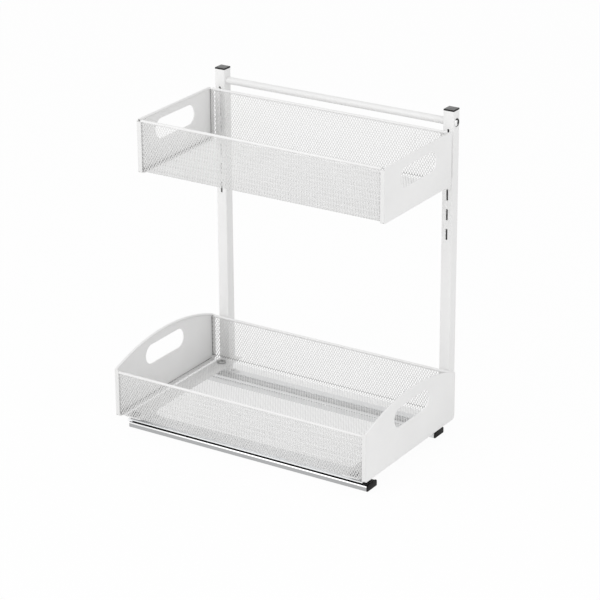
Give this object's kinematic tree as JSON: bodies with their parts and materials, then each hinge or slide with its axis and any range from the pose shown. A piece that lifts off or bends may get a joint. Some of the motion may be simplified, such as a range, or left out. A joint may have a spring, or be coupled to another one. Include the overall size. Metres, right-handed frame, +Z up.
{
  "type": "pull out cabinet basket",
  "caption": "Two-tier wire mesh basket for the inside of a cabinet, on two square posts and a pair of ball-bearing slides that let it pull out sideways.",
  "frame": {"origin": "middle of the bounding box at the level of the cabinet floor, with the basket pushed in", "axes": "+Z up, X along the slides with the basket pulling out towards -X, -Y the open front of the tiers, posts at +Y"},
  "size_m": [0.38, 0.241, 0.435],
  "materials": {
    "white_coat": "satin white powder coat on steel sheet, tube and wire",
    "white_mesh": "satin white powder coat on expanded steel mesh",
    "rail_steel": "bright zinc-plated roll-formed steel",
    "ball_steel": "polished bearing steel",
    "screw_steel": "plain zinc-plated screws, rivets and threaded inserts",
    "black_plastic": "matt black moulded plastic"
  },
  "bodies": {
    "fixed_rails": {"front_outer_rail": "rail_steel", "rear_outer_rail": "rail_steel", "front_rail_bumper": "black_plastic", "rear_rail_bumper": "black_plastic"},
    "front_ball_row": {"front_ball_cage": "rail_steel", "front_balls": "ball_steel"},
    "rear_ball_row": {"rear_ball_cage": "rail_steel", "rear_balls": "ball_steel"},
    "carriage": {"front_inner_rail": "rail_steel", "rear_inner_rail": "rail_steel", "front_top_strip": "rail_steel", "rear_top_strip": "rail_steel", "left_cross_plate": "white_coat", "right_cross_plate": "white_coat", "rail_rivets": "screw_steel", "floor_screws": "screw_steel", "lower_left_panel": "white_coat", "lower_right_panel": "white_coat", "lower_front_mesh": "white_mesh", "lower_rear_mesh": "white_mesh", "lower_floor_mesh": "white_mesh", "lower_front_rim": "white_coat", "lower_rear_rim": "white_coat", "left_post": "white_coat", "right_post": "white_coat", "left_post_cap": "black_plastic", "right_post_cap": "black_plastic", "post_foot_plugs": "black_plastic", "post_foot_screws": "screw_steel", "crossbar": "white_coat", "crossbar_inserts": "screw_steel", "crossbar_screws": "screw_steel"},
    "upper_basket": {"upper_left_panel": "white_coat", "upper_right_panel": "white_coat", "upper_front_mesh": "white_mesh", "upper_rear_mesh": "white_mesh", "upper_floor_mesh": "white_mesh", "upper_front_rim": "white_coat", "upper_rear_rim": "white_coat", "left_hook_bracket": "white_coat", "right_hook_bracket": "white_coat"}
  },
  "joints": [
    {"name": "carriage_slide", "type": "slide", "parent": "fixed_rails", "child": "carriage", "axis": [-1, 0, 0], "range_m": [0, 0.24]},
    {"name": "front_ball_row_slide", "type": "slide", "parent": "fixed_rails", "child": "front_ball_row", "axis": [-1, 0, 0], "range_m": [0, 0.12]},
    {"name": "rear_ball_row_slide", "type": "slide", "parent": "fixed_rails", "child": "rear_ball_row", "axis": [-1, 0, 0], "range_m": [0, 0.12]},
    {"name": "upper_basket_lift", "type": "slide", "parent": "carriage", "child": "upper_basket", "axis": [0, 0, 1], "range_m": [0, 0.0065]}
  ],
  "couplings": [
    {"joint": "front_ball_row_slide", "follows": "carriage_slide", "ratio": 0.5},
    {"joint": "rear_ball_row_slide", "follows": "carriage_slide", "ratio": 0.5}
  ]
}
